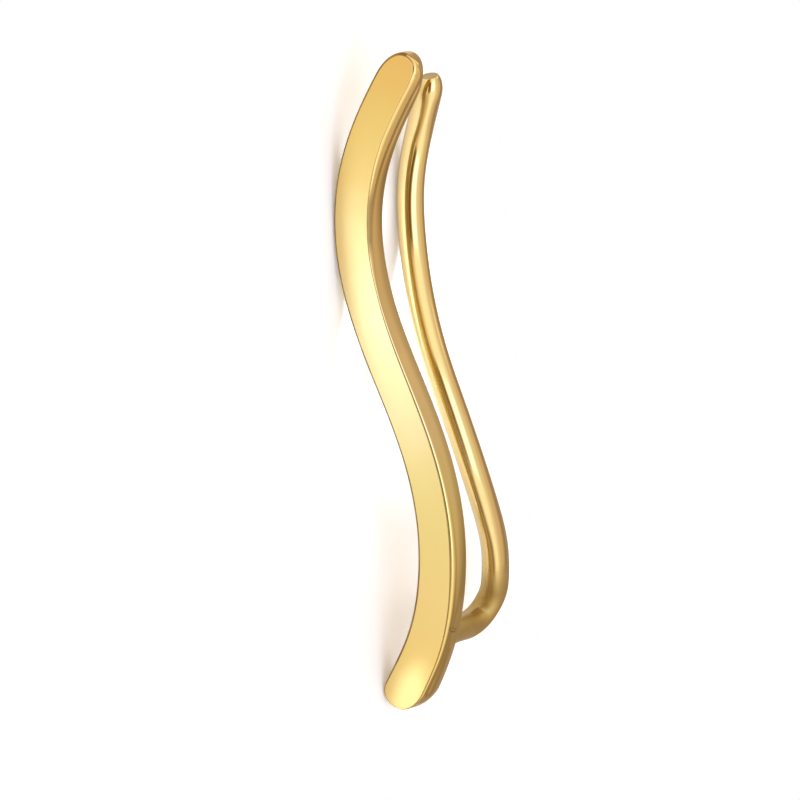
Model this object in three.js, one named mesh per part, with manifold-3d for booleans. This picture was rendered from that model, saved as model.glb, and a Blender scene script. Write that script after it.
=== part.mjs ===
// Ear climber: a flat wavy bar that runs up the front of the ear, and the round ear wire soldered behind its
// foot, which passes through the piercing and climbs behind the ear. The ear sits in the gap between them.
// Soldered metal is one solid, so the bar, the wire and the solder collar are joined into one mesh.
//
// Millimetres. The climber is modelled standing: +X to the side, +Y to the back, +Z up the bar. It is then
// laid on its side, as it rests on a table by itself: its face looks along -Y and its tip points along -X.

import * as THREE from 'three';
import { mergeVertices } from 'three/addons/utils/BufferGeometryUtils.js';
import Module from 'manifold-3d';

const wasm = await Module();
wasm.setup();

// Bar
const barWidth = 1.54;
const barThickness = 0.88;
const frontRounding = 0.14;
const backRounding = 0.09;
const roundingSteps = 3;
const barHalfHeight = 12;
const bowDepth = 0.84; // how far the ends lie behind the middle
const bowSkew = 0.42; // how far the bow is shifted towards the tip
const barSteps = 40;
const endSteps = 8; // for each quarter turn of a round end
const footLength = 0.8; // of the round end at the foot
const footSkew = 0.15; // how much sooner the foot starts to round on its left side than in its middle
const tipLength = 1.3; // of the rounded, slimmer end at the tip

// Centreline of the bar, from its foot to its tip: height, and how far it swings to the side there
const barStations = [
  { height: -12.65, side: -1.1 },
  { height: -9.6, side: 0.28 },
  { height: -7.2, side: 0.8 },
  { height: -4.8, side: 0.84 },
  { height: -2.4, side: 0.39 },
  { height: 0.0, side: -0.53 },
  { height: 2.4, side: -1.58 },
  { height: 4.8, side: -2.27 },
  { height: 7.2, side: -2.41 },
  { height: 9.6, side: -1.94 },
  { height: 12.74, side: -0.71 },
];

// Ear wire
const wireDiameter = 1.0;
const wireSides = 16;
const wireSteps = 72;
const wireEndLength = 0.95; // the rounded end past the last station, before it is cut
const wireEndSteps = 6;
const cutHeight = 0.69; // of the flat cut above the last station
const cutFacing = new THREE.Vector3(-0.17, -0.09, 0.98).normalize();

// Centreline of the wire, from the bar's back round the bend and up to its tip. It runs straight behind the
// bar's centreline: the height on the bar, and the distance behind the bar's front face
const wireStations = [
  { height: -9.75, behind: 0.45 },
  { height: -10.05, behind: 1.6 },
  { height: -10.45, behind: 2.8 },
  { height: -10.77, behind: 3.75 },
  { height: -10.7, behind: 4.45 },
  { height: -10.15, behind: 4.8 },
  { height: -9.2, behind: 4.6 },
  { height: -7.6, behind: 4.1 },
  { height: -5.6, behind: 3.4 },
  { height: -3.6, behind: 2.9 },
  { height: -1.6, behind: 2.74 },
  { height: 0.4, behind: 2.9 },
  { height: 2.4, behind: 3.38 },
  { height: 4.6, behind: 3.86 },
  { height: 6.8, behind: 4.02 },
  { height: 8.9, behind: 3.88 },
  { height: 10.6, behind: 3.32 },
];

// Solder collar, flared round the wire where it meets the bar's back
const solderDiameter = 1.34;
const solderHeight = 0.4;
const solderSink = 0.15;
const solderSteps = 4;

// How the standing climber is turned to lie on its side, with three spots touching the table: the bar's
// upper swing, the wire's upper swing and the bar's foot
const lieDown = THREE.MathUtils.degToRad(-85.15);
const lieRoll = THREE.MathUtils.degToRad(-4.6);

const gold = new THREE.MeshStandardMaterial({ color: 0xe3b85f, roughness: 0.16, metalness: 1 });

// A point of the bowed bar, given where it lies on the flat bar before it is bowed
function bowed(side, height, depth) {
  const rise = height / barHalfHeight;
  const back = bowDepth * rise ** 2 + bowSkew * (rise ** 3 - rise);
  const slope = (2 * bowDepth * rise + bowSkew * (3 * rise ** 2 - 1)) / barHalfHeight;
  const lean = Math.atan(slope);
  return new THREE.Vector3(side, back + depth * Math.cos(lean), height - depth * Math.sin(lean));
}

const barLine = new THREE.CatmullRomCurve3(
  barStations.map(({ height, side }) => new THREE.Vector3(side, 0, height)),
);

// The side swing of the bar's centreline at a height
function swingAt(height) {
  const fine = barLine.getPoints(barSteps * 8);
  const next = Math.min(fine.findIndex((point) => point.z >= height), fine.length - 1);
  const [low, high] = [fine[next - 1], fine[next]];
  return THREE.MathUtils.mapLinear(height, low.z, high.z, low.x, high.x);
}

const barLength = barLine.getLength();

// Points of the bar's two sides, a distance along its centreline and half a width out from it. The rungs from
// side to side lean by the skew at the foot, and ever less towards the tip
function acrossBar(along, half, depth) {
  const skew = (2 * half / barWidth) * THREE.MathUtils.mapLinear(along, 0, barLength, footSkew, 0);
  return [1, -1].map((hand) => {
    const skewed = along + hand * skew;
    const onLine = THREE.MathUtils.clamp(skewed, 0, barLength);
    const run = barLine.getTangentAt(onLine / barLength);
    const centre = barLine.getPointAt(onLine / barLength).addScaledVector(run, skewed - onLine);
    return bowed(centre.x + hand * half * run.z, centre.z - hand * half * run.x, depth);
  });
}

// One closed loop round the bar, at a depth behind its front face and an inset from its widest outline. It
// runs up the right side from the middle of the foot to the middle of the tip, and down the left side
function barLoop(depth, inset) {
  const reach = barWidth / 2 - inset;
  const straight = barLength - footLength - tipLength;
  const rungs = [];
  for (let i = 0; i <= endSteps; i += 1) {
    const turn = (Math.PI / 2) * (i / endSteps);
    rungs.push(acrossBar(footLength - (footLength - inset) * Math.cos(turn), reach * Math.sin(turn), depth));
  }
  for (let i = 1; i < barSteps; i += 1) {
    rungs.push(acrossBar(footLength + straight * (i / barSteps), reach, depth));
  }
  for (let i = 0; i <= endSteps; i += 1) {
    const turn = (Math.PI / 2) * (i / endSteps);
    const along = barLength - tipLength + (tipLength - inset) * Math.sin(turn);
    rungs.push(acrossBar(along, reach * Math.cos(turn), depth));
  }
  const rightSide = rungs.map(([right]) => right);
  const leftSide = rungs.slice(1, -1).reverse().map(([, left]) => left);
  return [...rightSide, ...leftSide];
}

// The bar: loops stacked from the front face to the back, with the faces closed by rungs from side to side
function makeBar() {
  const loops = [];
  for (let i = 0; i <= roundingSteps; i += 1) {
    const turn = (Math.PI / 2) * (i / roundingSteps);
    loops.push(barLoop(frontRounding * (1 - Math.cos(turn)), frontRounding * (1 - Math.sin(turn))));
  }
  for (let i = 0; i <= roundingSteps; i += 1) {
    const turn = (Math.PI / 2) * (i / roundingSteps);
    const depth = barThickness - backRounding * (1 - Math.sin(turn));
    loops.push(barLoop(depth, backRounding * (1 - Math.cos(turn))));
  }
  const count = loops[0].length;
  const faces = [];
  for (let loop = 0; loop < loops.length - 1; loop += 1) {
    for (let i = 0; i < count; i += 1) {
      const [a, b] = [loop * count + i, loop * count + ((i + 1) % count)];
      faces.push(a, a + count, b, b, a + count, b + count);
    }
  }
  const back = (loops.length - 1) * count;
  for (let i = 0; i < count / 2; i += 1) {
    const [right, nextRight, left, nextLeft] = [i, i + 1, (count - i) % count, count - i - 1];
    faces.push(right, nextRight, nextLeft, right, nextLeft, left);
    faces.push(back + right, back + nextLeft, back + nextRight, back + right, back + left, back + nextLeft);
  }
  const bar = new THREE.BufferGeometry();
  bar.setAttribute('position', new THREE.Float32BufferAttribute(loops.flat().flatMap((p) => p.toArray()), 3));
  bar.setIndex(faces);
  return toSolid(bar);
}

const wireLine = new THREE.CatmullRomCurve3(
  wireStations.map(({ height, behind }) => bowed(swingAt(height), height, behind)),
);

function makeWire() {
  const section = new THREE.Shape().absarc(0, 0, wireDiameter / 2, 0, 2 * Math.PI, false);
  const run = {
    steps: wireSteps,
    curveSegments: wireSides / 2, // for each half turn
    extrudePath: wireLine,
  };
  return toSolid(new THREE.ExtrudeGeometry(section, run));
}

// A turned form made along +Y, stood at a point of the wire along the wire's run there
function turnedOnWire(profile, along) {
  const straightUp = new THREE.Vector3(0, 1, 0);
  const turn = new THREE.Quaternion().setFromUnitVectors(straightUp, wireLine.getTangent(along));
  const geometry = new THREE.LatheGeometry(profile, wireSides).applyQuaternion(turn);
  return toSolid(geometry.translate(...wireLine.getPoint(along).toArray()));
}

// The wire's end, rounded over and then cut flat
function makeWireEnd() {
  const profile = [new THREE.Vector2(0, -wireEndLength / 2)];
  for (let i = 0; i <= wireEndSteps; i += 1) {
    const turn = (Math.PI / 2) * (i / wireEndSteps);
    profile.push(new THREE.Vector2((wireDiameter / 2) * Math.cos(turn), wireEndLength * Math.sin(turn)));
  }
  const away = cutFacing.clone().negate();
  const distance = away.dot(wireLine.getPoint(1)) - cutHeight;
  return turnedOnWire(profile, 1).trimByPlane(away.toArray(), distance);
}

// The solder collar, widest where it is sunk into the bar's back
function makeSolder() {
  const radius = solderDiameter / 2;
  const flare = radius - wireDiameter / 2;
  const profile = [new THREE.Vector2(0, -solderSink), new THREE.Vector2(radius, -solderSink)];
  for (let i = 0; i <= solderSteps; i += 1) {
    const turn = (Math.PI / 2) * (i / solderSteps);
    profile.push(new THREE.Vector2(radius - flare * Math.sin(turn), solderHeight * (1 - Math.cos(turn))));
  }
  profile.push(new THREE.Vector2(0, solderHeight));
  const atBack = (barThickness - wireStations[0].behind) / wireLine.getLength();
  return turnedOnWire(profile, wireLine.getUtoTmapping(atBack));
}

function toSolid(geometry) {
  geometry.deleteAttribute('normal');
  geometry.deleteAttribute('uv');
  const merged = mergeVertices(geometry);
  return new wasm.Manifold(new wasm.Mesh({
    numProp: 3,
    vertProperties: merged.attributes.position.array,
    triVerts: Uint32Array.from(merged.index.array),
  }));
}

function toGeometry(solid) {
  const { vertProperties, triVerts } = solid.getMesh();
  const geometry = new THREE.BufferGeometry();
  geometry.setAttribute('position', new THREE.Float32BufferAttribute(vertProperties, 3));
  geometry.setIndex([...triVerts]);
  geometry.computeVertexNormals();
  return geometry;
}

const pieces = [makeBar(), makeWire(), makeWireEnd(), makeSolder()];
const joined = pieces.reduce((solid, piece) => solid.add(piece));

const climber = new THREE.Mesh(toGeometry(joined), gold);
climber.name = 'ear_climber';

const lying = new THREE.Group();
lying.add(climber);
lying.rotation.set(lieRoll, lieDown, 0, 'XYZ');

// The origin is the middle of the climber's footprint, on the table
const box = new THREE.Box3().setFromObject(lying, true);
const middle = box.getCenter(new THREE.Vector3());
lying.position.set(-middle.x, -middle.y, -box.min.z);

const group = new THREE.Group();
group.add(lying);

export default group;
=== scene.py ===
# Ear climber in polished gold: a flat wavy bar with a round ear wire soldered behind its foot. It lies on
# its side on a pale floor, as it rests by itself, and the camera looks at its face and its right side.
import math

import bpy
import numpy as np
from mathutils import Matrix, Vector


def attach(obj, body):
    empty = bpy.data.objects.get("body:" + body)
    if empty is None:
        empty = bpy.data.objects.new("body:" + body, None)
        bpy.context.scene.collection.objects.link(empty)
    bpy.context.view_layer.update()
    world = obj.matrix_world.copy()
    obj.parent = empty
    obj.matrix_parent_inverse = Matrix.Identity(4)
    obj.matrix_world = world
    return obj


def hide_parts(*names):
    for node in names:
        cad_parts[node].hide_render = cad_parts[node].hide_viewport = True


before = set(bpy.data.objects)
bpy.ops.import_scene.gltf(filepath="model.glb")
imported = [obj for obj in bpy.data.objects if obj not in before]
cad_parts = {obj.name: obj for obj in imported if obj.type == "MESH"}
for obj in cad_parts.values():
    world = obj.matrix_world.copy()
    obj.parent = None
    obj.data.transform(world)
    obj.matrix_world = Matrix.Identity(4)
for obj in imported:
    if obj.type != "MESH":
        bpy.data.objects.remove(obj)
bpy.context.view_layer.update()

# Sizes are in millimetres, on the climber as it stands: +X to the side, +Y to the back, +Z up the bar.
# Each form has the driving sizes of the CAD part, some a little smaller to stay inside it, and is made
# finer. "By share" means by the share of the way from the bar's foot to its tip.
MM = 0.001

# The bar's two sides, as signs
RIGHT = 1
LEFT = -1

# Bar
BAR_WIDTH = 1.535
BAR_THICKNESS = 0.88
BAR_HALF_HEIGHT = 12
BOW_DEPTH = 0.84  # how far the ends lie behind the middle
BOW_SKEW = 0.42  # how far the bow is shifted towards the tip
FOOT_LENGTH = {RIGHT: 1.15, LEFT: 0.8}  # of the round end
FOOT_SKEW = 0.15  # how much sooner the foot starts to round on its left side than in its middle
TIP_LENGTH = 1.3
BAR_STEPS = 260
END_STEPS = 26
LINE_POINTS = 4001  # for measuring lengths along a smooth line

# Height, and how far the bar's centreline swings to the side there
BAR_STATIONS = [
    (-12.64, -1.1),
    (-9.6, 0.28),
    (-7.2, 0.8),
    (-4.8, 0.84),
    (-2.4, 0.39),
    (0.0, -0.53),
    (2.4, -1.58),
    (4.8, -2.27),
    (7.2, -2.41),
    (9.6, -1.94),
    (12.73, -0.71),
]

# The front edges are hand polished: the rounding's radius, by share
LEFT_ROUNDING = [(0.0, 0.07), (0.2, 0.1), (0.8, 0.1), (1.0, 0.11)]
RIGHT_ROUNDING = [
    (0.0, 0.07),
    (0.25, 0.19),
    (0.5, 0.1),
    (0.65, 0.06),
    (0.88, 0.08),
    (0.975, 0.1),
    (0.99, 0.18),
    (1.0, 0.11),
]

# The same for the back edges, which are rounded further on the thinner tip
BACK_ROUNDING = [(0.0, 0.09), (0.93, 0.09), (0.975, 0.3), (1.0, 0.36)]

# Near the tip the right front edge is worked into a broad bevel: depth behind the front face and inset from
# the widest outline, from the front face to the side
BEVEL = [
    (0.0, 0.184),
    (0.004, 0.173),
    (0.016, 0.157),
    (0.035, 0.138),
    (0.08, 0.1),
    (0.12, 0.08),
    (0.31, 0.022),
    (0.335, 0.013),
    (0.36, 0.006),
    (0.385, 0.003),
    (0.41, 0.001),
    (0.45, 0.0),
]

# How much of the bevel there is, by share
BEVEL_AMOUNT = [
    (0.64, 0.0),
    (0.7, 0.25),
    (0.765, 0.4),
    (0.81, 0.55),
    (0.88, 1.0),
    (0.976, 1.0),
    (0.988, 0.5),
    (0.995, 0.14),
    (1.0, 0.0),
]

# The right side is a little round: how far in its front edge lies, how far out the side bulges behind it,
# both by share, and where it is widest, as a share of the way across it
CROWN = [(0.0, 0.0), (0.03, 0.046), (0.95, 0.046), (0.985, 0.0), (1.0, 0.0)]
BULGE = [
    (0.0, 0.0),
    (0.004, 0.06),
    (0.012, 0.11),
    (0.03, 0.12),
    (0.06, 0.1),
    (0.1, 0.05),
    (0.14, 0.015),
    (0.17, 0.0),
]
WIDEST = 0.8

# Loops of points beside a rounded edge keep the face next to it flat: how far from the edge they lie, and
# how far from it the front face's second one lies
EDGE_SUPPORT = 0.02
FACE_SUPPORT = 0.2

# The steps across a side, counted from the front face: two that keep it flat, then those of the front edge,
# of the side, and of the back edge up to the flat back
SIDE_STEPS = 6
BACK_STEPS = 8
EDGE_START = 2
SIDE_START = EDGE_START + len(BEVEL)
BACK_START = SIDE_START + SIDE_STEPS + 1
BACK_END = BACK_START + BACK_STEPS

# Where the side's steps lie, as shares of the way from its front edge to its back edge
SIDE_WAYS = np.linspace(0, 1, SIDE_STEPS + 1)

# On the front face the tip's right side is squarer than a round end: the power of the end's turn, by step
SHOULDER = [(SIDE_START, 0.6), (BACK_START - 1, 1.0)]

# How dull and dark the metal is, from 0 to 1, by share; most of the darkness is painted shade. The hollow
# of the bevel starts and ends at a step, and a darker patch on the side starts at a step
# Painted shade on the back, which the wire reflects; the back is also rougher there
BACK_SHADE = [(0.0, 0.12), (0.6, 0.12), (0.69, 0.5), (0.84, 0.5), (0.92, 0.3), (1.0, 0.3)]
# Painted dark line on the rounding of the right side's back edge
BACK_EDGE_SHADE = 0.3
# Painted shade on the foot's end
FOOT_SHADE = [(0.0, 0.4), (0.03, 0.0)]
# Painted shade on the tip's end, on the right side and on the left
RIGHT_TIP_SHADE = [(0.984, 0.0), (0.996, 0.1)]
LEFT_TIP_SHADE = [(0.975, 0.0), (0.99, 0.1)]
# Painted shade in the bevel's hollow
HOLLOW_SHADE = [(0.69, 0.0), (0.72, 0.5), (0.775, 0.5), (0.81, 0.0)]
HOLLOW_START = 5
HOLLOW_END = 10
# A darker patch on the side above the solder seam
SIDE_PATCH_SHADE = [(0.118, 0.0), (0.124, 0.42), (0.16, 0.42), (0.2, 0.0)]
SIDE_PATCH_START = SIDE_START + SIDE_STEPS // 2

# The painted dark reflections along the right front edge, each on one step, by share. Step 4 runs along
# the face's edge up to the bevel, and the others run along both sides of the bevel
DARK_LINES = {
    3: [(0.69, 0.0), (0.72, 0.45), (0.99, 0.45), (0.998, 0.0)],
    4: [(0.0, 0.0), (0.03, 1.0), (0.56, 1.0), (0.65, 0.0)],
    9: [(0.69, 0.0), (0.72, 0.75), (0.99, 0.75), (0.998, 0.0)],
    10: [(0.69, 0.0), (0.72, 0.75), (0.99, 0.75), (0.998, 0.0)],
}

# The left front edge's rounding, darkened with painted shade: its shade and the step where it starts, by
# share, and how much of it is left where it runs out onto the side, by step
RIM_SHADE = [(0.0, 0.5), (0.08, 0.95), (0.95, 0.95), (1.0, 0.7)]
RIM_START = [(0.0, 2.5), (0.1, 1.0), (0.6, 1.0), (0.75, 2.5), (1.0, 2.5)]
RIM_REST = [(SIDE_START - 2, 1.0), (SIDE_START + 1, 0.0)]

# A painted highlight on the right edge and side near the tip: how far their colour is drawn to the palest
# gold, from 0 to 1, by share
EDGE_HIGHLIGHT = [(0.0, 0.0), (0.82, 0.0), (0.9, 0.55), (1.0, 0.55)]

# Ear wire
WIRE_DIAMETER = 0.988
WIRE_SIDES = 48
WIRE_STEPS = 340
WIRE_END_LENGTH = 0.95  # the rounded end past the last station, before it is cut
WIRE_END_STEPS = 14
WIRE_END_REACH = 0.95  # how much of the way to the cut these steps go
CUT_HEIGHT = 0.69  # of the flat cut above the last station
CUT_FACING = Vector((-0.17, -0.09, 0.98)).normalized()
CUT_BEVEL = 0.02
# How much the cut's face is roughened and darkened with painted shade
CUT_SHADE = 0.62

# Height on the bar, and the distance behind its front face
WIRE_STATIONS = [
    (-9.75, 0.45),
    (-10.05, 1.6),
    (-10.45, 2.8),
    (-10.77, 3.75),
    (-10.7, 4.45),
    (-10.15, 4.785),
    (-9.2, 4.6),
    (-7.6, 4.1),
    (-5.6, 3.4),
    (-3.6, 2.9),
    (-1.6, 2.74),
    (0.4, 2.9),
    (2.4, 3.38),
    (4.6, 3.86),
    (6.8, 4.025),
    (8.9, 3.92),
    (10.6, 3.36),
]

# By the share of the way from the bar to the wire's tip: how dull the wire is and how much painted shade
# darkens it, as multiples of the solder's shade, and how far its colour is drawn to the palest gold
WIRE_DULLNESS_AND_SHADE = [(0.0, 1.0), (0.08, 1.2), (0.13, 1.45), (0.18, 1.35), (0.235, 1.1), (0.275, 0.0)]
WIRE_PALENESS = [(0.0, 0.0), (0.22, 0.0), (0.32, 1.0), (1.0, 1.0)]

# A painted dark reflection along the wire's inside. By the same share: where it lies, in turns round the
# wire, and how much of it there is. Its breadth is in turns too
PAINTED_LINE_PLACE = [(0.1, 0.795), (0.18, 0.785), (0.22, 0.79), (0.27, 0.8125)]
PAINTED_LINE_AMOUNT = [
    (0.1, 0.0),
    (0.13, 1.0),
    (0.16, 1.0),
    (0.19, 0.6),
    (0.23, 0.7),
    (0.27, 0.9),
    (0.42, 0.8),
    (0.6, 0.0),
]
PAINTED_LINE_SHADE = 0.9
PAINTED_LINE_BREADTH = 0.014

# Solder collar
SOLDER_DIAMETER = 1.34
SOLDER_HEIGHT = 0.4
SOLDER_SINK = 0.15
SOLDER_STEPS = 10
SOLDER_SHADE = 0.33

# Solder seam
SEAM_RUNGS = 9
SEAM_HEIGHTS = (-8.72, -9.02)  # on the bar, at the seam's front end and at its back end
SEAM_DEPTHS = (0.1, 0.68)  # behind the front face, at the same ends
SEAM_SPREAD = 0.065  # in its middle
SEAM_END = 0.03  # the share of its length where each end stays equally narrow

# Its cross-section: the place along the bar in spreads, the height above the bar's side, and the shade
SEAM_CORNERS = [(-2.0, -0.002, 0.0), (0.0, 0.016, 0.65), (0.8, -0.002, 0.65), (0.0, -0.03, 0.0)]

# How the standing climber is turned to lie on its side
LIE_DOWN = math.radians(-85.15)
LIE_ROLL = math.radians(-4.6)

# Camera, as seen from the standing climber
VIEW_YAW = math.radians(31.41)
VIEW_ELEVATION = math.radians(23.89)
VIEW_WIDTH = 28.32
VIEW_LEFT = 0.328  # how far the middle of the view lies left of the climber's origin
VIEW_BELOW = 0.03
VIEW_DISTANCE = 1.0  # metres

# The plating's colour from the tip to the foot, whose darker, warmer ends are painted shade: the share of
# that way, and the colour
TONES_AND_SHADE = [
    (0.0, (0.68, 0.44, 0.122)),
    (0.1, (0.69, 0.5, 0.15)),
    (0.19, (0.67, 0.48, 0.16)),
    (0.3, (0.715, 0.55, 0.235)),
    (0.42, (0.74, 0.59, 0.27)),
    (0.55, (0.75, 0.61, 0.29)),
    (0.66, (0.71, 0.59, 0.22)),
    (0.84, (0.72, 0.55, 0.2)),
    (0.93, (0.735, 0.545, 0.185)),
    (1.0, (0.68, 0.5, 0.18)),
]
TONE_ENDS = (-0.0107, 0.0147)  # metres along X
TONE_DRIFT = 0.004  # metres
# The paler gold of the wire, and of the painted highlight near the tip
PALE_GOLD_AND_HIGHLIGHT = (0.8, 0.62, 0.27, 1)
# The colour that duller metal and painted shade are darkened towards
DULL_AND_SHADED_GOLD = (0.18, 0.1, 0.028, 1)

# The roughness of the polish, and how fast it rises as metal gets duller. It falls back towards a shade
# of 1, where the metal is only dark
POLISH = (0.08, 0.17)
ROUGHENING = 1.6

# The waves left by the polishing: how close they are in each direction, and their height in metres
WAVE_SCALE = (260, 900, 900)
WAVE_HEIGHT = 0.000004

# The floor's four edges, in metres
FLOOR = {"left": -0.0155, "right": 0.016, "front": -0.3, "back": 0.007}

# The broad light above the floor: watts per square metre, the direction it comes from, and how broad it is
OVERHEAD_POWER = 0.8
OVERHEAD_FROM = Vector((0, 0.35, 1))
OVERHEAD_BREADTH = math.radians(80)

# The spots that light the floor. The angle goes up from the horizon behind the climber and over to the
# horizon in front, in degrees. Then come the power in watts, and in metres the spot's radius on the floor,
# its softness and its centre
POOLS = [
    ("low_pool", 41, 0.05, 0.0064, 0.0045, (-0.0016, -0.0038)),
    ("middle_pool", 48, 0.05, 0.0064, 0.0045, (-0.0016, -0.0038)),
    ("high_pool", 56, 0.05, 0.0064, 0.0045, (-0.0016, -0.0038)),
    ("foot_pool", 133, 0.085, 0.0013, 0.0004, (0.0132, -0.004)),
]
POOL_COLOUR = (0.5, 0.7, 1)
POOL_DISTANCE = 0.03

# The light tent round the climber, as bands that run along it: the angle up from the horizon behind it and
# over to the horizon in front, in degrees, and the band's light
TENT = [
    (0, (0.56, 0.448, 0.37)),
    (15, (0.39, 0.3, 0.23)),
    (24, (0.4, 0.31, 0.235)),
    (33, (0.59, 0.465, 0.38)),
    (45, (0.82, 0.65, 0.54)),
    (54, (0.78, 0.62, 0.5)),
    (63, (0.862, 0.706, 0.594)),
    (74, (0.952, 0.84, 0.762)),
    (92, (0.974, 0.918, 0.896)),
    (97, (1.23, 1.21, 1.18)),
    (106, (1.7, 1.85, 2.5)),
    (131, (1.7, 1.85, 2.5)),
    (138, (1.12, 1.12, 1.12)),
    (142, (0.403, 0.28, 0.157)),
    (149, (0.179, 0.0896, 0.0224)),
    (160, (0.224, 0.134, 0.056)),
    (167, (1.15, 1.0, 0.95)),
    (180, (1.15, 1.0, 0.95)),
]

# The same where the tent closes at the foot's end, without the dark band low in front
TENT_FOOT = [
    *TENT[:8],
    (97, (1.23, 1.21, 1.18)),
    (106, (1.4, 1.3, 1.25)),
    (136, (1.4, 1.3, 1.25)),
    (150, (1.1, 0.95, 0.8)),
    (165, (0.75, 0.62, 0.5)),
    (180, (0.7, 0.58, 0.46)),
]

# And where it closes at the tip's end, with more light low behind
TENT_TIP = [
    (0, (0.56, 0.448, 0.37)),
    (12, (0.7, 0.58, 0.48)),
    (24, (1.6, 1.45, 1.3)),
    (50, (1.6, 1.45, 1.3)),
    *TENT_FOOT[6:],
]

# How far along X a direction points where the tent starts to close at each end, and where it has closed
TENT_FOOT_RANGE = (0.52, 0.66)
TENT_TIP_RANGE = (-0.08, -0.26)


class Line:
    """A smooth line through stations, followed by the distance along it."""

    def __init__(self, stations):
        self.stations = np.array(stations, float)
        gaps = np.linalg.norm(np.diff(self.stations, axis=0), axis=1)
        self.knots = np.concatenate([[0], np.cumsum(gaps)])
        self.bends = self.bends_at_stations(gaps)
        self.fine = np.linspace(0, self.knots[-1], LINE_POINTS)
        self.points = self.at_knot(self.fine)[0]
        steps = np.linalg.norm(np.diff(self.points, axis=0), axis=1)
        self.lengths = np.concatenate([[0], np.cumsum(steps)])
        self.length = self.lengths[-1]

    def bends_at_stations(self, gaps):
        """The line's second derivative at each station. At both ends the line points along the stations."""
        count = len(self.stations)
        system = np.eye(count)
        system[0, 1] = system[-1, -2] = 0.5
        target = np.zeros_like(self.stations)
        slopes = np.diff(self.stations, axis=0) / gaps[:, None]
        for i in range(1, count - 1):
            system[i, i - 1:i + 2] = gaps[i - 1], 2 * (gaps[i - 1] + gaps[i]), gaps[i]
            target[i] = 6 * (slopes[i] - slopes[i - 1])
        return np.linalg.solve(system, target)

    def at_knot(self, knot):
        """Points and unit tangents of the line at knot values."""
        i = np.clip(np.searchsorted(self.knots, knot, side="right") - 1, 0, len(self.knots) - 2)
        gap = (self.knots[i + 1] - self.knots[i])[:, None]
        after = (knot - self.knots[i])[:, None] / gap
        before = 1 - after
        low, high = self.stations[i], self.stations[i + 1]
        low_bend, high_bend = self.bends[i] * gap ** 2 / 6, self.bends[i + 1] * gap ** 2 / 6
        points = (before * low + after * high
                  + (before ** 3 - before) * low_bend + (after ** 3 - after) * high_bend)
        runs = high - low - (3 * before ** 2 - 1) * low_bend + (3 * after ** 2 - 1) * high_bend
        return points, runs / np.linalg.norm(runs, axis=1)[:, None]

    def at(self, along):
        """Points and unit tangents at distances along the line, which may run on straight past its ends."""
        along = np.asarray(along, float)
        on_line = np.clip(along, 0, self.length)
        points, runs = self.at_knot(np.interp(on_line, self.lengths, self.fine))
        return points + runs * (along - on_line)[:, None], runs


def from_table(table, places):
    """Values at places, from a table of places and values."""
    return np.interp(places, *zip(*table))


def bowed(side, height, depth):
    """Points of the bowed bar, given where they lie on the flat bar before it is bowed."""
    rise = np.asarray(height) / BAR_HALF_HEIGHT
    back = BOW_DEPTH * rise ** 2 + BOW_SKEW * (rise ** 3 - rise)
    slope = (2 * BOW_DEPTH * rise + BOW_SKEW * (3 * rise ** 2 - 1)) / BAR_HALF_HEIGHT
    lean = np.arctan(slope)
    points = np.broadcast_arrays(side, back + depth * np.cos(lean), height - depth * np.sin(lean))
    return np.stack(points, axis=-1)


BAR_LINE = Line([(side, height) for height, side in BAR_STATIONS])

# The turns of the rungs round an end, and the shares of the way between the ends of the others
END_TURNS = np.linspace(0, math.pi / 2, END_STEPS + 1)
MIDDLE_WAYS = np.linspace(0, 1, BAR_STEPS + 1)[1:-1]


def swing_at(height):
    """The side swing of the bar's centreline at a height."""
    return np.interp(height, BAR_LINE.points[:, 1], BAR_LINE.points[:, 0])


def along_bar(hand, foot_inset=0, tip_inset=0, shoulder=1):
    """How far along the bar each rung lies on one side, from foot to tip."""
    foot_length = FOOT_LENGTH[hand]
    straight = BAR_LINE.length - foot_length - TIP_LENGTH
    return np.concatenate([
        foot_length - (foot_length - foot_inset) * np.cos(END_TURNS),
        foot_length + straight * MIDDLE_WAYS,
        BAR_LINE.length - TIP_LENGTH + (TIP_LENGTH - tip_inset) * np.sin(END_TURNS) ** shoulder,
    ])


def bar_side(hand, depth, inset, shoulder=1):
    """Points along one side of the bar, from foot to tip. The depth behind the front face and the inset from
    the widest outline are given at each rung."""
    parts = [len(END_TURNS), len(END_TURNS) + len(MIDDLE_WAYS)]
    foot_inset, middle_inset, tip_inset = np.split(inset, parts)
    along = along_bar(hand, foot_inset, tip_inset, shoulder)
    half = np.concatenate([
        (BAR_WIDTH / 2 - foot_inset) * np.sin(END_TURNS),
        BAR_WIDTH / 2 - middle_inset,
        (BAR_WIDTH / 2 - tip_inset) * np.abs(np.cos(END_TURNS)) ** shoulder,
    ])
    skew = (2 * half / BAR_WIDTH) * FOOT_SKEW * (1 - along / BAR_LINE.length)
    centre, run = BAR_LINE.at(along + hand * skew)
    side = centre[:, 0] + hand * half * run[:, 1]
    height = centre[:, 1] - hand * half * run[:, 0]
    return bowed(side, height, depth)


def round_the_bar(right, left):
    """One closed loop from values at each rung, up the right side and down the left."""
    return np.concatenate([right, left[-2:0:-1]])


def right_edge(shares):
    """Depth and inset of the right front edge at each rung, step by step from the front face to the side."""
    rounding = from_table(RIGHT_ROUNDING, shares)
    bevel = from_table(BEVEL_AMOUNT, shares)
    steps = []
    for turn, (bevel_depth, bevel_inset) in zip(np.linspace(0, math.pi / 2, len(BEVEL)), BEVEL):
        depth = rounding * (1 - math.cos(turn)) * (1 - bevel) + bevel_depth * bevel
        inset = rounding * (1 - math.sin(turn)) * (1 - bevel) + bevel_inset * bevel
        steps.append((depth, inset))
    return steps


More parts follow.
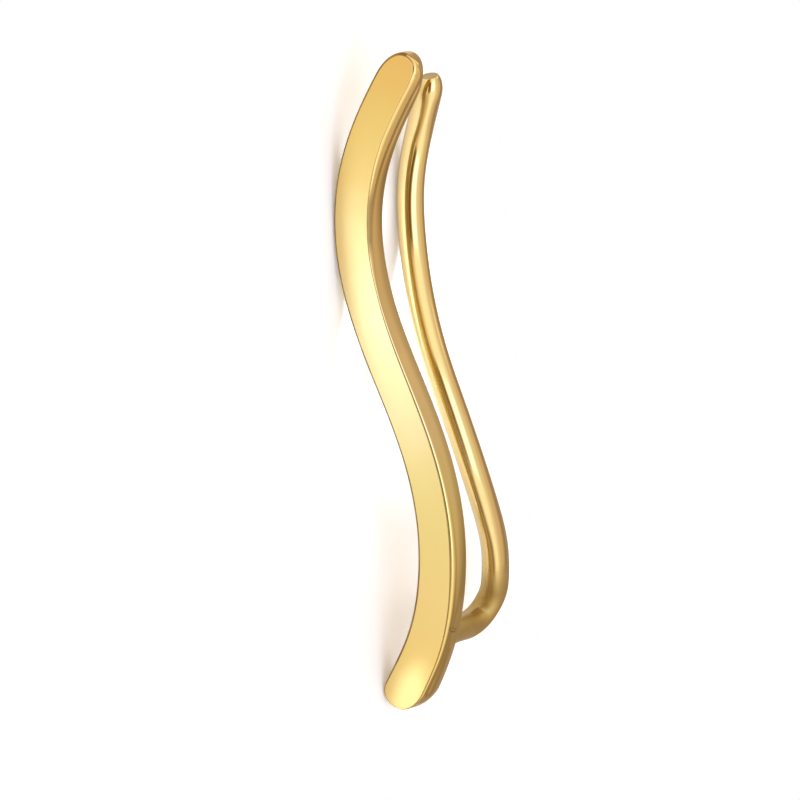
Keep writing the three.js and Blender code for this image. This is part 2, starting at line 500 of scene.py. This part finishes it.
def left_edge(shares):
    """Depth and inset of the left front edge, in as many steps as the right edge has."""
    rounding = from_table(LEFT_ROUNDING, shares)
    turns = np.linspace(0, math.pi / 2, len(BEVEL))
    return [(rounding * (1 - math.cos(turn)), rounding * (1 - math.sin(turn))) for turn in turns]


def right_side(shares, way):
    """How far in from the widest outline the right side lies, part of the way from its front edge to its
    back edge."""
    crown, bulge = from_table(CROWN, shares), from_table(BULGE, shares)
    return (crown + bulge) * (1 - way / WIDEST) ** 2 - bulge


def across_side(edge, side, rounding):
    """All the steps from the front face over one side to the back, given the steps of its front edge, the
    insets of its side from front to back and the rounding of its back edge."""
    edge = [(depth, inset + side[0]) for depth, inset in edge]
    first_depth, first_inset = edge[0]
    steps = [(first_depth, first_inset + FACE_SUPPORT), (first_depth, first_inset + EDGE_SUPPORT), *edge]
    side_start, side_end = edge[-1][0] + EDGE_SUPPORT, BAR_THICKNESS - rounding - EDGE_SUPPORT
    for way, inset in zip(SIDE_WAYS, side):
        steps.append((side_start + (side_end - side_start) * way, inset))
    for turn in np.linspace(0, math.pi / 2, BACK_STEPS + 1):
        depth = BAR_THICKNESS - rounding * (1 - math.sin(turn))
        steps.append((depth, side[-1] + rounding * (1 - math.cos(turn))))
    steps.append((depth, side[-1] + rounding + EDGE_SUPPORT))
    return steps


def right_shades(shares, step):
    """The shade at each rung on a step across the right side: painted shade, and the darker side patch."""
    shade = np.zeros_like(shares)
    # Painted shade on the tip's end
    if SIDE_START <= step < BACK_END:
        shade = shade + from_table(RIGHT_TIP_SHADE, shares)
    # Painted shade on the foot's end
    if HOLLOW_START <= step < BACK_END:
        shade = shade + from_table(FOOT_SHADE, shares)
    # Painted dark reflections along the right front edge
    if step in DARK_LINES:
        return shade + from_table(DARK_LINES[step], shares)
    # Painted shade in the bevel's hollow
    if HOLLOW_START <= step < HOLLOW_END:
        return shade + from_table(HOLLOW_SHADE, shares)
    # The darker patch on the side above the solder seam
    if SIDE_PATCH_START <= step < BACK_START:
        return np.maximum(shade, from_table(SIDE_PATCH_SHADE, shares))
    # Painted dark line on the back edge's rounding
    if BACK_START <= step < BACK_END:
        return np.maximum(shade, BACK_EDGE_SHADE)
    return shade


def left_shades(shares, step):
    """The painted shade at each rung on one of the steps across the left side."""
    # Painted shade on the left front edge's rounding
    started = np.clip(step - from_table(RIM_START, shares), 0, 1)
    shade = started * from_table(RIM_REST, step) * from_table(RIM_SHADE, shares)
    # Painted shade on the tip's end
    if SIDE_START <= step < BACK_END:
        return np.maximum(shade, from_table(LEFT_TIP_SHADE, shares))
    return shade


def without_doubles(corners):
    """The corners of a face, where a rung without width gives one corner twice."""
    return list(dict.fromkeys(corners))


def rings_to_faces(rings, count):
    """The faces between rings of as many points each."""
    faces = []
    for ring in range(rings - 1):
        for i in range(count):
            a, b = ring * count + i, ring * count + (i + 1) % count
            faces.append([a, a + count, b + count, b])
    return faces


def bar_mesh():
    """The bar: loops stacked from the front face to the back, where rungs from side to side close them."""
    shares, left_shares = along_bar(RIGHT) / BAR_LINE.length, along_bar(LEFT) / BAR_LINE.length
    side = [right_side(shares, way) for way in SIDE_WAYS]
    left_side = [np.zeros_like(left_shares)] * len(SIDE_WAYS)
    right_steps = across_side(right_edge(shares), side, from_table(BACK_ROUNDING, shares))
    left_steps = across_side(left_edge(left_shares), left_side, from_table(BACK_ROUNDING, left_shares))
    loops = []
    shades = []
    highlights_and_paleness = []
    for step, (right, left) in enumerate(zip(right_steps, left_steps)):
        shoulder = from_table(SHOULDER, step)
        loops.append(round_the_bar(bar_side(RIGHT, *right, shoulder), bar_side(LEFT, *left)))
        shades.append(round_the_bar(right_shades(shares, step), left_shades(left_shares, step)))
        # Painted highlight on the right edge and side near the tip
        paleness_and_highlight = from_table(EDGE_HIGHLIGHT, shares) * (EDGE_START <= step <= BACK_END)
        highlights_and_paleness.append(round_the_bar(paleness_and_highlight, np.zeros_like(left_shares)))
    count = len(loops[0])
    faces = rings_to_faces(len(loops), count)
    back = (len(loops) - 1) * count
    # The flat back: rougher, and darkened with painted shade that shows in the wire's reflection of it
    back_shade = from_table(BACK_SHADE, shares)
    shades[-1] = round_the_bar(back_shade, back_shade)
    for i in range(count // 2):
        rung = [i, i + 1, count - i - 1, (count - i) % count]
        faces.append(without_doubles(rung))
        faces.append(without_doubles([back + corner for corner in reversed(rung)]))
    return np.concatenate(loops), faces, np.concatenate(shades), np.concatenate(highlights_and_paleness)


WIRE_LINE = Line([bowed(swing_at(height), height, behind) for height, behind in WIRE_STATIONS])


def outwards(run):
    """Unit directions out from a run of the wire, all the way round it. The first is to the side."""
    side = np.array([1.0, 0, 0]) - run * run[0]
    side = side / np.linalg.norm(side)
    turn = np.linspace(0, 2 * math.pi, WIRE_SIDES, endpoint=False)[:, None]
    return np.cos(turn) * side + np.sin(turn) * np.cross(run, side)


def closed_tube(rings, first, last):
    """Points and faces of a tube of rings, with a point in the middle of each of its two ends."""
    points = np.concatenate([*rings, [first, last]])
    faces = rings_to_faces(len(rings), WIRE_SIDES)
    end = (len(rings) - 1) * WIRE_SIDES
    for i in range(WIRE_SIDES):
        j = (i + 1) % WIRE_SIDES
        faces.append([i, j, len(points) - 2])
        faces.append([end + j, end + i, len(points) - 1])
    return points, [face[::-1] for face in faces]


def wire_end(centre, run):
    """Rings of the wire's rounded end, up to its flat cut, and then over the cut's edge onto its face."""
    out = WIRE_DIAMETER / 2 * outwards(run)
    facing = np.array(CUT_FACING)
    # Where each line from the wire's side to the end's top meets the cut
    spread, rise = out @ facing, WIRE_END_LENGTH * (run @ facing)
    cut = np.arctan2(rise, spread) - np.arccos(CUT_HEIGHT / np.hypot(spread, rise))

    def ring(turn):
        """Points of the rounded end, part of the turn from the wire's side to the end's top."""
        return centre + np.cos(turn)[:, None] * out + WIRE_END_LENGTH * np.sin(turn)[:, None] * run

    edge = ring(cut)
    inwards = edge.mean(axis=0) - edge
    inwards = inwards / np.linalg.norm(inwards, axis=1)[:, None]
    before = ring(cut - CUT_BEVEL / WIRE_END_LENGTH)
    after = edge + CUT_BEVEL * inwards
    rings = [ring(cut * share) for share in np.linspace(0, WIRE_END_REACH, WIRE_END_STEPS)[1:]]
    return [*rings, before, (before + after + 2 * edge) / 4, after, after + CUT_BEVEL * inwards]


def wire_shades(size):
    """Painted shade on the wire's rougher bend and cut face, and a painted dark reflection on its inside."""
    way = np.linspace(0, 1, WIRE_STEPS + 1)[:, None]
    turn = np.arange(WIRE_SIDES) / WIRE_SIDES
    # Rougher in the bend, and darkened there with painted shade
    bend = SOLDER_SHADE * from_table(WIRE_DULLNESS_AND_SHADE, way)
    # A painted dark reflection along the wire's inside
    across = (turn - from_table(PAINTED_LINE_PLACE, way)) / PAINTED_LINE_BREADTH
    painted_line = PAINTED_LINE_SHADE * from_table(PAINTED_LINE_AMOUNT, way) * np.exp(-across ** 2)
    shades = np.zeros(size)
    shades[:way.size * WIRE_SIDES] = np.maximum(bend, painted_line).ravel()
    # The last two rings lie on the cut, and the last point is its middle
    # The cut's face: rougher, and darkened with painted shade
    shades[-2 - 2 * WIRE_SIDES:-2] = CUT_SHADE
    shades[-1] = CUT_SHADE
    return shades


def wire_mesh():
    """The ear wire, from inside the bar to its cut tip."""
    centres, runs = WIRE_LINE.at(np.linspace(0, WIRE_LINE.length, WIRE_STEPS + 1))
    rings = [centre + WIRE_DIAMETER / 2 * outwards(run) for centre, run in zip(centres, runs)]
    rings += wire_end(centres[-1], runs[-1])
    points, faces = closed_tube(rings, centres[0], rings[-1].mean(axis=0))
    highlights_and_paleness = np.ones(len(points))
    # All but the middles of the two ends
    highlights_and_paleness[:-2] = np.repeat(from_table(WIRE_PALENESS, np.arange(len(rings)) / WIRE_STEPS), WIRE_SIDES)
    return points, faces, wire_shades(len(points)), highlights_and_paleness


def solder_mesh():
    """The collar of solder, flared round the wire where it leaves the bar's back."""
    radius = SOLDER_DIAMETER / 2
    flare = radius - WIRE_DIAMETER / 2
    turns = np.linspace(0, math.pi / 2, SOLDER_STEPS + 1)
    profile = [(radius, -SOLDER_SINK)]
    profile += [(radius - flare * math.sin(turn), SOLDER_HEIGHT * (1 - math.cos(turn))) for turn in turns]
    centres, runs = WIRE_LINE.at([BAR_THICKNESS - WIRE_STATIONS[0][1]])
    centre, run = centres[0], runs[0]
    rings = [centre + reach * outwards(run) + height * run for reach, height in profile]
    points, faces = closed_tube(rings, centre - SOLDER_SINK * run, centre + SOLDER_HEIGHT * run)
    return points, faces, np.full(len(points), SOLDER_SHADE), np.zeros(len(points))


def seam_mesh():
    """The fine line of solder across the bar's right side, next to the wire."""
    way = np.linspace(0, 1, SEAM_RUNGS)
    heights = np.linspace(*SEAM_HEIGHTS, SEAM_RUNGS)
    along = np.interp(heights, BAR_LINE.points[:, 1], BAR_LINE.lengths)
    bed = BAR_WIDTH / 2 - right_side(along / BAR_LINE.length, way)
    spread = SEAM_SPREAD * np.sqrt(np.sin(math.pi * np.clip(way, SEAM_END, 1 - SEAM_END)))
    corners = []
    for aside, lift, _ in SEAM_CORNERS:
        centre, run = BAR_LINE.at(along + aside * spread)
        half = bed + lift
        side, height = centre[:, 0] + half * run[:, 1], centre[:, 1] - half * run[:, 0]
        corners.append(bowed(side, height, np.linspace(*SEAM_DEPTHS, SEAM_RUNGS)))
    points = np.stack(corners, axis=1).reshape(-1, 3)
    count = len(SEAM_CORNERS)
    faces = rings_to_faces(SEAM_RUNGS, count)
    faces += [list(reversed(range(count))), list(range(len(points) - count, len(points)))]
    return points, faces, np.tile([shade for *_, shade in SEAM_CORNERS], SEAM_RUNGS), np.zeros(len(points))


class Nodes:
    """The nodes of a material or world."""

    def __init__(self, owner):
        owner.use_nodes = True
        self.tree = owner.node_tree
        self.tree.nodes.clear()

    def add(self, kind, inputs=None, **settings):
        """A new node, with each input given as a value or as the output of another node."""
        node = self.tree.nodes.new(kind)
        for name, value in settings.items():
            setattr(node, name, value)
        for name, value in (inputs or {}).items():
            if isinstance(value, bpy.types.NodeSocket):
                self.tree.links.new(value, node.inputs[name])
            else:
                node.inputs[name].default_value = value
        return node

    def maths(self, operation, *values, **settings):
        """The result of a sum on values or outputs."""
        inputs = dict(enumerate(values))
        return self.add("ShaderNodeMath", inputs, operation=operation, **settings).outputs[0]

    def noise(self, place, scale, detail):
        """Smooth noise at a place."""
        return self.add("ShaderNodeTexNoise", {"Vector": place, "Scale": scale, "Detail": detail}).outputs[0]

    def stretched(self, value, start, end, low=0, high=1, **settings):
        """A value stretched so that start to end becomes low to high, and kept between them."""
        spans = {"Value": value, "From Min": start, "From Max": end, "To Min": low, "To Max": high}
        return self.add("ShaderNodeMapRange", spans, **settings).outputs["Result"]

    def mixed(self, share, first, second):
        """A colour that goes from the first to the second as the share goes from 0 to 1."""
        colours = {"Factor": share, "A": first, "B": second}
        return self.add("ShaderNodeMix", colours, data_type="RGBA").outputs["Result"]

    def ramp(self, share, stops, interpolation="LINEAR"):
        """A colour by the share, from a table of shares and colours."""
        node = self.add("ShaderNodeValToRGB", {"Fac": share})
        node.color_ramp.interpolation = interpolation
        elements = node.color_ramp.elements
        while len(elements) < len(stops):
            elements.new(0.5)
        for element, (position, colour) in zip(elements, stops):
            element.position = position
            element.color = (*colour, 1)
        return node.outputs["Color"]


def plating_tone_and_shade(nodes, place):
    """The plating's colour, darker at the bar's ends with painted shade and drifting a little along it, and
    drawn to the palest gold on the paler wire and in the painted highlight near the tip.
    """
    x = nodes.add("ShaderNodeSeparateXYZ", {"Vector": place}).outputs["X"]
    wander = nodes.maths("MULTIPLY_ADD", nodes.noise(place, scale=300, detail=2), TONE_DRIFT, x)
    # Darker and warmer towards the bar's ends, as painted shade
    tone_and_shade = nodes.ramp(nodes.stretched(wander, *TONE_ENDS), TONES_AND_SHADE)
    paleness_and_highlight = nodes.add("ShaderNodeAttribute", attribute_name="paleness_and_highlight").outputs["Fac"]
    return nodes.mixed(paleness_and_highlight, tone_and_shade, PALE_GOLD_AND_HIGHLIGHT)


def dullness_and_shade(nodes, haze):
    """How far the metal is duller, and how much painted shade it has: the shade of each form, mottled."""
    shade = nodes.add("ShaderNodeAttribute", attribute_name="shade").outputs["Fac"]
    mottle = nodes.stretched(haze, start=0.3, end=0.7, low=0.75, high=1.15)
    return nodes.maths("MULTIPLY", shade, mottle, use_clamp=True)


def darkened(nodes, tone_and_shade, dull_and_shade):
    """Darker where the metal is duller and by painted shade, and a little on every rim that turns away, as
    a painted dark reflection.
    """
    facing = nodes.add("ShaderNodeLayerWeight").outputs["Facing"]
    # A painted dark reflection on every rim that turns away from the view
    rim = nodes.stretched(facing, start=0.5, end=1, high=0.7, interpolation_type="SMOOTHSTEP")
    return nodes.mixed(nodes.maths("MAXIMUM", dull_and_shade, rim), tone_and_shade, DULL_AND_SHADED_GOLD)


def roughness(nodes, haze, dull_and_shade):
    """The roughness of the polish, which varies a little, and of duller metal."""
    polish = nodes.stretched(haze, 0, 1, *POLISH)
    roughening = nodes.maths("MULTIPLY_ADD", dull_and_shade, -ROUGHENING, ROUGHENING)
    return nodes.maths("MULTIPLY_ADD", dull_and_shade, roughening, polish)


def polishing_waves(nodes, place):
    """Shallow waves left by the polishing, drawn out along the bar."""
    stretch = nodes.add("ShaderNodeMapping", {"Vector": place, "Scale": WAVE_SCALE})
    height = nodes.noise(stretch.outputs["Vector"], scale=1, detail=3)
    bump = nodes.add("ShaderNodeBump", {"Height": height, "Strength": 1, "Distance": WAVE_HEIGHT})
    return bump.outputs["Normal"]


def gold():
    """The gold plating of every piece."""
    material = bpy.data.materials.new("gold")
    nodes = Nodes(material)
    place = nodes.add("ShaderNodeTexCoord").outputs["Object"]
    haze = nodes.noise(place, scale=900, detail=4)
    dull_and_shade = dullness_and_shade(nodes, haze)
    shader = nodes.add("ShaderNodeBsdfPrincipled", {
        "Base Color": darkened(nodes, plating_tone_and_shade(nodes, place), dull_and_shade),
        "Metallic": 1,
        "Roughness": roughness(nodes, haze, dull_and_shade),
        "Normal": polishing_waves(nodes, place),
    })
    nodes.add("ShaderNodeOutputMaterial", {"Surface": shader.outputs[0]})
    return material


def pale_floor():
    """The floor, which glows a little so that it is white all over."""
    material = bpy.data.materials.new("pale_floor")
    nodes = Nodes(material)
    shader = nodes.add("ShaderNodeBsdfPrincipled", {
        "Base Color": (0.82, 0.81, 0.8, 1),
        "Roughness": 0.3,
        "Emission Color": (1, 1, 1, 1),
        "Emission Strength": 0.2,
    })
    nodes.add("ShaderNodeOutputMaterial", {"Surface": shader.outputs[0]})
    mesh = bpy.data.meshes.new("floor")
    left, right, front, back = FLOOR.values()
    corners = [(left, front, 0), (right, front, 0), (right, back, 0), (left, back, 0)]
    mesh.from_pydata(corners, [], [(0, 1, 2, 3)])
    mesh.materials.append(material)
    floor = bpy.data.objects.new("floor", mesh)
    bpy.context.scene.collection.objects.link(floor)


def light_tent():
    """The tent's light, behind which the camera sees plain white."""
    world = bpy.data.worlds.new("light_tent")
    bpy.context.scene.world = world
    nodes = Nodes(world)
    place = nodes.add("ShaderNodeTexCoord").outputs["Generated"]
    parts = nodes.add("ShaderNodeSeparateXYZ", {"Vector": place})
    angle = nodes.maths("ARCTAN2", parts.outputs["Z"], parts.outputs["Y"])
    share = nodes.maths("DIVIDE", angle, math.pi)

    def bands(table):
        """The light by the angle, from a table of degrees and lights."""
        return nodes.ramp(share, [(degrees / 180, light) for degrees, light in table], "EASE")

    def closed(tent, end, start, full):
        """The tent's light with another at one of its ends."""
        towards = nodes.stretched(parts.outputs["X"], start, full, interpolation_type="SMOOTHSTEP")
        return nodes.mixed(towards, tent, bands(end))

    tent = closed(bands(TENT), TENT_FOOT, *TENT_FOOT_RANGE)
    light = nodes.add("ShaderNodeBackground", {"Color": closed(tent, TENT_TIP, *TENT_TIP_RANGE)})
    plain = nodes.add("ShaderNodeBackground", {"Color": (1, 1, 1, 1)})
    seen = nodes.add("ShaderNodeLightPath").outputs["Is Camera Ray"]
    both = nodes.add("ShaderNodeMixShader", {0: seen, 1: light.outputs[0], 2: plain.outputs[0]})
    nodes.add("ShaderNodeOutputWorld", {"Surface": both.outputs[0]})


def add_light(name, kind, energy, towards, **settings):
    """A light that shines on the floor and doesn't show in the gold itself."""
    data = bpy.data.lights.new(name, kind)
    data.energy = energy
    for setting, value in settings.items():
        setattr(data, setting, value)
    light = bpy.data.objects.new(name, data)
    light.visible_glossy = False
    light.rotation_mode = "QUATERNION"
    light.rotation_quaternion = towards.to_track_quat("Z", "Y")
    bpy.context.scene.collection.objects.link(light)
    return light


def floor_lights():
    """A broad soft light from above, soft spots from behind that brighten the floor in front of the bar, and
    one from in front that brightens it beside the foot."""
    add_light("overhead", "SUN", OVERHEAD_POWER, OVERHEAD_FROM, angle=OVERHEAD_BREADTH)
    for name, angle, power, radius, softness, centre in POOLS:
        towards = Vector((0, math.cos(math.radians(angle)), math.sin(math.radians(angle))))
        spot = add_light(name, "SPOT", power, towards, spot_size=2 * math.atan(radius / POOL_DISTANCE),
                         spot_blend=1, shadow_soft_size=softness, color=POOL_COLOUR)
        spot.location = Vector((*centre, 0)) + towards * POOL_DISTANCE


def camera(lying):
    """The camera at its angle to the standing climber, turned with the climber as it lies down."""
    across, away, rise = math.cos(VIEW_YAW), math.sin(VIEW_YAW), math.sin(VIEW_ELEVATION)
    right = Vector((across, away, 0))
    up = Vector((-rise * away, rise * across, math.cos(VIEW_ELEVATION)))
    towards = right.cross(up)
    aim = lying @ (-VIEW_LEFT * right - VIEW_BELOW * up)
    turn = lying.to_3x3()
    right, up, towards = turn @ right, turn @ up, turn @ towards
    data = bpy.data.cameras.new("camera")
    data.angle = 2 * math.atan(VIEW_WIDTH * MM / 2 / VIEW_DISTANCE)
    made = bpy.data.objects.new("camera", data)
    facing = Matrix((right, up, towards)).transposed().to_4x4()
    made.matrix_world = Matrix.Translation(aim * MM + towards * VIEW_DISTANCE) @ facing
    bpy.context.scene.collection.objects.link(made)
    bpy.context.scene.camera = made


def laid(points, lying):
    """Points of the standing climber, moved to where they are as it lies."""
    turn, shift = np.array(lying.to_3x3()), np.array(lying.translation)
    return points @ turn.T + shift


def add_piece(name, points, faces, shades, highlights_and_paleness, material):
    """A piece of the climber, with the shade at each of its points, and how far each is drawn to the pale
    gold of the wire and of the painted highlight.
    """
    mesh = bpy.data.meshes.new(name)
    mesh.from_pydata((points * MM).tolist(), [], faces)
    mesh.shade_smooth()
    mesh.attributes.new("shade", "FLOAT", "POINT").data.foreach_set("value", shades)
    mesh.attributes.new("paleness_and_highlight", "FLOAT", "POINT").data.foreach_set("value", highlights_and_paleness)
    mesh.materials.append(material)
    piece = bpy.data.objects.new(name, mesh)
    bpy.context.scene.collection.objects.link(piece)
    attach(piece, "root")
    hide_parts("ear_climber")


forms = {
    "bar": bar_mesh(),
    "ear_wire": wire_mesh(),
    "solder_collar": solder_mesh(),
    "solder_seam": seam_mesh(),
}

# The climber lies on its side with its lowest point on the floor, centred on the origin
lying = Matrix.Rotation(LIE_ROLL, 4, "X") @ Matrix.Rotation(LIE_DOWN, 4, "Y")
everything = laid(np.concatenate([points for points, *_ in forms.values()]), lying)
low, high = everything.min(axis=0), everything.max(axis=0)
lying = Matrix.Translation((-(low[0] + high[0]) / 2, -(low[1] + high[1]) / 2, -low[2])) @ lying

bpy.context.scene.view_settings.view_transform = "Standard"
camera(lying)
pale_floor()
light_tent()
floor_lights()
metal = gold()
for name, (points, faces, shades, highlights_and_paleness) in forms.items():
    add_piece(name, laid(points, lying), faces, shades, highlights_and_paleness, metal)
